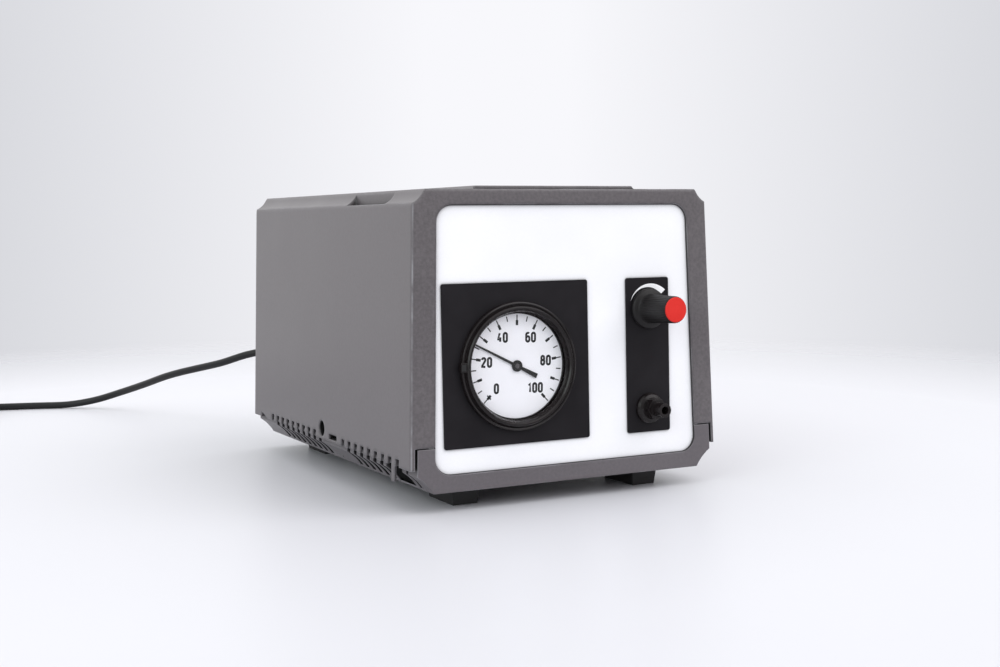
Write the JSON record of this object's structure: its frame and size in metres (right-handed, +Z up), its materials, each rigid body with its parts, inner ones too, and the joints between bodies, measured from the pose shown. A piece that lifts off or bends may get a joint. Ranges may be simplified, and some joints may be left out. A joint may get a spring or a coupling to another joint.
{
  "type": "bench vacuum pump",
  "caption": "Bench vacuum pump in a grey two-shell moulded case, with a round vacuum gauge, a bleed regulator knob and a hose inlet on its white front panel, and a mains lead behind.",
  "frame": {"origin": "on the floor under the middle of the pump without its mains lead", "axes": "+Z up, -Y out of the front panel, +X to the right as seen from the front"},
  "size_m": [0.4148, 0.5861, 0.167],
  "materials": {
    "case_grey": "fine grained",
    "case_grey_lower": "fine grained",
    "panel_white": "satin",
    "panel_grey": "satin",
    "plate_black": "printed foil",
    "fitting_black": "satin",
    "switch_black": "semi-gloss",
    "cap_red": "semi-gloss",
    "dial_white": "matt enamel",
    "needle_black": "matt",
    "gauge_glass": "clear",
    "brass": "machined",
    "bronze": "rolled sheet",
    "zinc_steel": "zinc plated",
    "chassis_steel": "zinc plated sheet",
    "core_steel": "laminated",
    "magnet": "sintered",
    "coil_copper": "varnished winding",
    "rubber": "matt",
    "pump_plastic": "glass filled",
    "hose": "silicone",
    "terminal": "moulded",
    "lead_black": "satin",
    "pin_brass": "nickel plated"
  },
  "bodies": {
    "pump_case": {"upper_shell": "case_grey", "lower_shell": "case_grey_lower", "front_panel": "panel_white", "rear_panel": "panel_grey", "case_screws": "zinc_steel", "foot_front_left": "rubber", "foot_front_right": "rubber", "foot_rear_left": "rubber", "foot_rear_right": "rubber", "foot_screws": "zinc_steel", "gauge_plate": "plate_black", "control_plate": "plate_black", "gauge_case": "fitting_black", "gauge_bezel": "fitting_black", "gauge_glass": "gauge_glass", "gauge_dial": "dial_white", "gauge_movement": "brass", "gauge_capsule": "bronze", "gauge_connector": "brass", "gauge_clamp": "zinc_steel", "valve_nut": "zinc_steel", "valve_body": "brass", "inlet_fitting": "fitting_black", "inlet_nut": "zinc_steel", "pump_chassis": "chassis_steel", "chassis_mounts": "rubber", "magnet_core": "core_steel", "magnet_coil": "coil_copper", "arm_pins": "zinc_steel", "left_diaphragm": "rubber", "right_diaphragm": "rubber", "left_pump_head": "pump_plastic", "right_pump_head": "pump_plastic", "suction_manifold": "fitting_black", "pressure_manifold": "fitting_black", "head_hoses": "hose", "front_hoses": "hose", "exhaust_hose": "hose", "exhaust_outlet": "fitting_black", "power_switch": "switch_black", "fuse_holder": "fitting_black", "terminal_block": "terminal", "strain_relief": "lead_black", "mains_cord": "lead_black", "cord_coil": "lead_black", "plug_lead": "lead_black", "mains_plug": "lead_black", "plug_pins": "pin_brass"},
    "pointer": {"gauge_pointer": "needle_black"},
    "sector": {"gauge_sector": "brass"},
    "regulator": {"control_knob": "fitting_black", "knob_cap": "cap_red", "knob_collet": "brass", "valve_spindle": "zinc_steel"},
    "needle": {"valve_needle": "zinc_steel"},
    "left_drive_arm": {"left_arm": "zinc_steel", "left_arm_magnet": "magnet"},
    "right_drive_arm": {"right_arm": "zinc_steel", "right_arm_magnet": "magnet"},
    "rocker": {"switch_rocker": "switch_black"}
  },
  "joints": [
    {"name": "sector_turn", "type": "hinge", "parent": "pump_case", "child": "sector", "pos_m": [-0.01471, -0.10644, 0.07218], "axis": [0, -0.9998, 0.022], "range_deg": [-6.38, 18.16]},
    {"name": "pointer_turn", "type": "hinge", "parent": "pump_case", "child": "pointer", "pos_m": [-0.0312, -0.10643, 0.0727], "axis": [0, -0.9998, 0.022], "range_deg": [-199.8, 70.2]},
    {"name": "regulator_turn", "type": "hinge", "parent": "pump_case", "child": "regulator", "pos_m": [0.05, -0.12883, 0.1002], "axis": [0, -0.9998, 0.022], "range_deg": [-135, 135]},
    {"name": "needle_slide", "type": "slide", "parent": "pump_case", "child": "needle", "axis": [0, -0.9998, 0.022], "range_m": [-0.0008, 0.0008]},
    {"name": "left_arm_swing", "type": "hinge", "parent": "pump_case", "child": "left_drive_arm", "pos_m": [-0.02, -0.02903, 0.049], "axis": [0, 0, 1], "range_deg": [-2, 2]},
    {"name": "right_arm_swing", "type": "hinge", "parent": "pump_case", "child": "right_drive_arm", "pos_m": [0.02, -0.02903, 0.049], "axis": [0, 0, 1], "range_deg": [-2, 2]},
    {"name": "rocker_tilt", "type": "hinge", "parent": "pump_case", "child": "rocker", "pos_m": [0.05, 0.13077, 0.118], "axis": [1, 0, 0], "range_deg": [0, 18]}
  ],
  "couplings": [
    {"joint": "pointer_turn", "follows": "sector_turn", "ratio": -11},
    {"joint": "needle_slide", "follows": "regulator_turn", "m_per_rad": 0.0003},
    {"joint": "right_arm_swing", "follows": "left_arm_swing", "ratio": -1}
  ]
}
